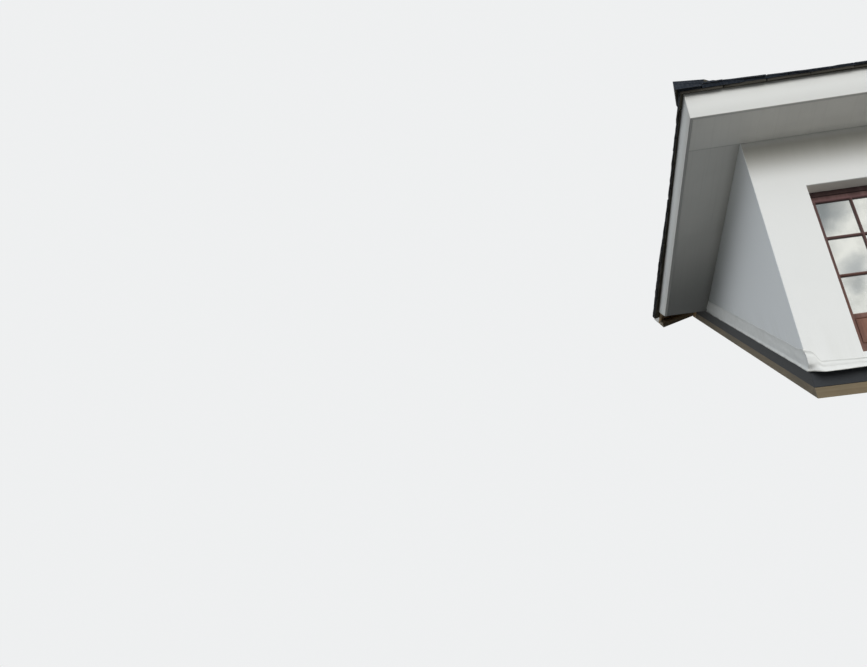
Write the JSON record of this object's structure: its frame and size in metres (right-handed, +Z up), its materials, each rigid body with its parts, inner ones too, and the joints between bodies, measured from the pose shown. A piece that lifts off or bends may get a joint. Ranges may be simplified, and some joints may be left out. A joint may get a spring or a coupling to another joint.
{
  "type": "dormer window",
  "caption": "Dormer window with rendered cheeks, a small-paned timber casement, boxed eaves and a hipped slate roof, shaped to sit on a pitched roof.",
  "frame": {"origin": "middle of the underside of the front sole plate, on the seat plane along the rafter tops of the roof that carries the dormer", "axes": "+X to the right as seen from outside, +Y level into the house, +Z up; the seat plane rises with +Y at 38.7 degrees"},
  "size_m": [2.251, 3.4111, 2.5047],
  "materials": {
    "render": "matt off-white painted render",
    "fascia_paint": "off-white painted board, low sheen",
    "soffit_paint": "matt pale grey painted sheet",
    "slate": "riven natural slate, satin",
    "hardwood": "stained red-brown hardwood, satin",
    "glass": "clear float glass",
    "pine": "sawn softwood",
    "flashing": "painted flashing membrane, matt",
    "lead": "dull grey lead sheet"
  },
  "bodies": {
    "root": {"front_wall": "render", "left_cheek": "render", "right_cheek": "render", "front_sole_plate": "pine", "left_sole_plate": "pine", "right_sole_plate": "pine", "front_wall_plate": "pine", "left_wall_plate": "pine", "right_wall_plate": "pine", "ridge_board": "pine", "front_rafter": "pine", "left_hip_rafter": "pine", "right_hip_rafter": "pine", "left_crown_rafter": "pine", "right_crown_rafter": "pine", "left_common_rafter": "pine", "right_common_rafter": "pine", "left_valley_rafter": "pine", "right_valley_rafter": "pine", "left_lay_board": "pine", "right_lay_board": "pine", "front_roof_deck": "pine", "left_roof_deck": "pine", "right_roof_deck": "pine", "front_slates": "slate", "left_slates": "slate", "right_slates": "slate", "left_hip_cap": "slate", "right_hip_cap": "slate", "ridge_cap": "slate", "left_valley_lining": "lead", "right_valley_lining": "lead", "front_fascia": "fascia_paint", "left_fascia": "fascia_paint", "right_fascia": "fascia_paint", "front_soffit": "soffit_paint", "left_soffit": "soffit_paint", "right_soffit": "soffit_paint", "window_frame": "hardwood", "left_sash": "hardwood", "right_sash": "hardwood", "left_sash_glass": "glass", "right_sash_glass": "glass", "left_sash_panel": "hardwood", "right_sash_panel": "hardwood", "front_apron": "flashing", "left_cheek_flashing": "flashing", "right_cheek_flashing": "flashing"}
  },
  "joints": []
}
